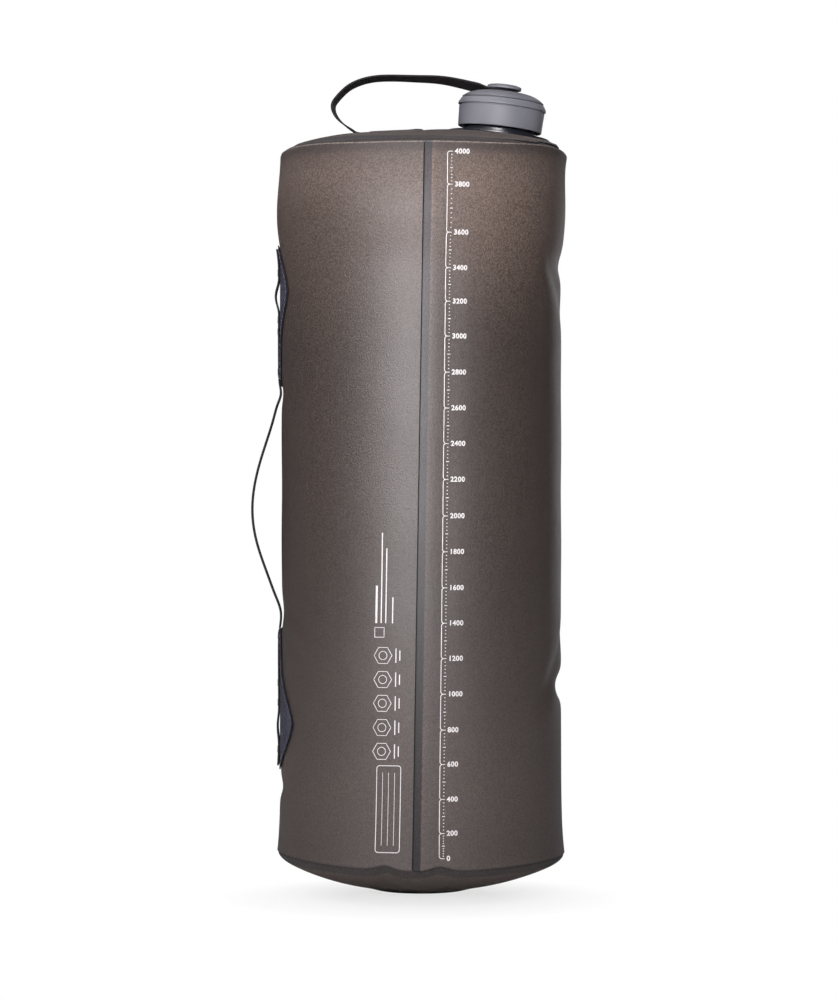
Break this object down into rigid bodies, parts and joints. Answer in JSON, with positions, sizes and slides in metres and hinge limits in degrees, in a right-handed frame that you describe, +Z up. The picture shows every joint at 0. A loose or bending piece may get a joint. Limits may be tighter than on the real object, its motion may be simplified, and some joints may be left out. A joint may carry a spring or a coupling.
{
  "type": "collapsible water carrier",
  "caption": "Soft film water carrier shaped like a tall cylinder, with dished ends, a tilted screw cap on a webbing leash and a webbing side handle.",
  "frame": {"origin": "middle of the flat foot that the carrier stands on, on its underside", "axes": "+Z up along the body, -Y the front with the printed scale, +X the side that the cap leans to, -X the handle side"},
  "size_m": [0.1434, 0.131, 0.3652],
  "materials": {
    "film": "frosted brownish-grey film with a fine grain",
    "coated_fabric": "fine coated fabric, dark navy grey",
    "webbing": "flat woven webbing, near black",
    "gloss_black": "glossy moulded plastic",
    "cap_grey": "satin moulded plastic",
    "seal": "matt soft rubber"
  },
  "bodies": {
    "root": {"bottom_panel": "film", "panel_left": "film", "panel_right": "film", "upper_patch": "coated_fabric", "lower_patch": "coated_fabric", "webbing_upper": "webbing", "webbing_lower": "webbing"},
    "top_end": {"top_panel": "film", "spout": "gloss_black", "leash_patch": "film", "leash": "webbing"},
    "leash_end": {"leash_button": "cap_grey"},
    "cap": {"cap_shell": "cap_grey", "cap_crown": "cap_grey", "cap_seal": "seal"},
    "handle": {"handle_loop": "webbing"}
  },
  "joints": [
    {"name": "collapse", "type": "slide", "parent": "root", "child": "top_end", "axis": [0, 0, -1], "range_m": [0, 0.22], "deforming": ["panel_left", "panel_right", "upper_patch", "lower_patch", "webbing_upper", "webbing_lower", "handle_loop"]},
    {"name": "cap_lift", "type": "slide", "parent": "top_end", "child": "leash_end", "axis": [0.1132, 0, 0.9936], "range_m": [0, 0.015], "deforming": ["leash"]},
    {"name": "cap_turn", "type": "hinge", "parent": "leash_end", "child": "cap", "pos_m": [0.035, 0, 0.33751], "axis": [0.1132, 0, 0.9936], "range_deg": [0, 900]},
    {"name": "handle_swing", "type": "hinge", "parent": "root", "child": "handle", "pos_m": [-0.06455, 0, 0.1735], "axis": [0, 0, 1], "range_deg": [-25, 25], "deforming": ["handle_loop"]}
  ],
  "couplings": [
    {"joint": "cap_turn", "follows": "cap_lift", "rad_per_m": 1047.2}
  ]
}
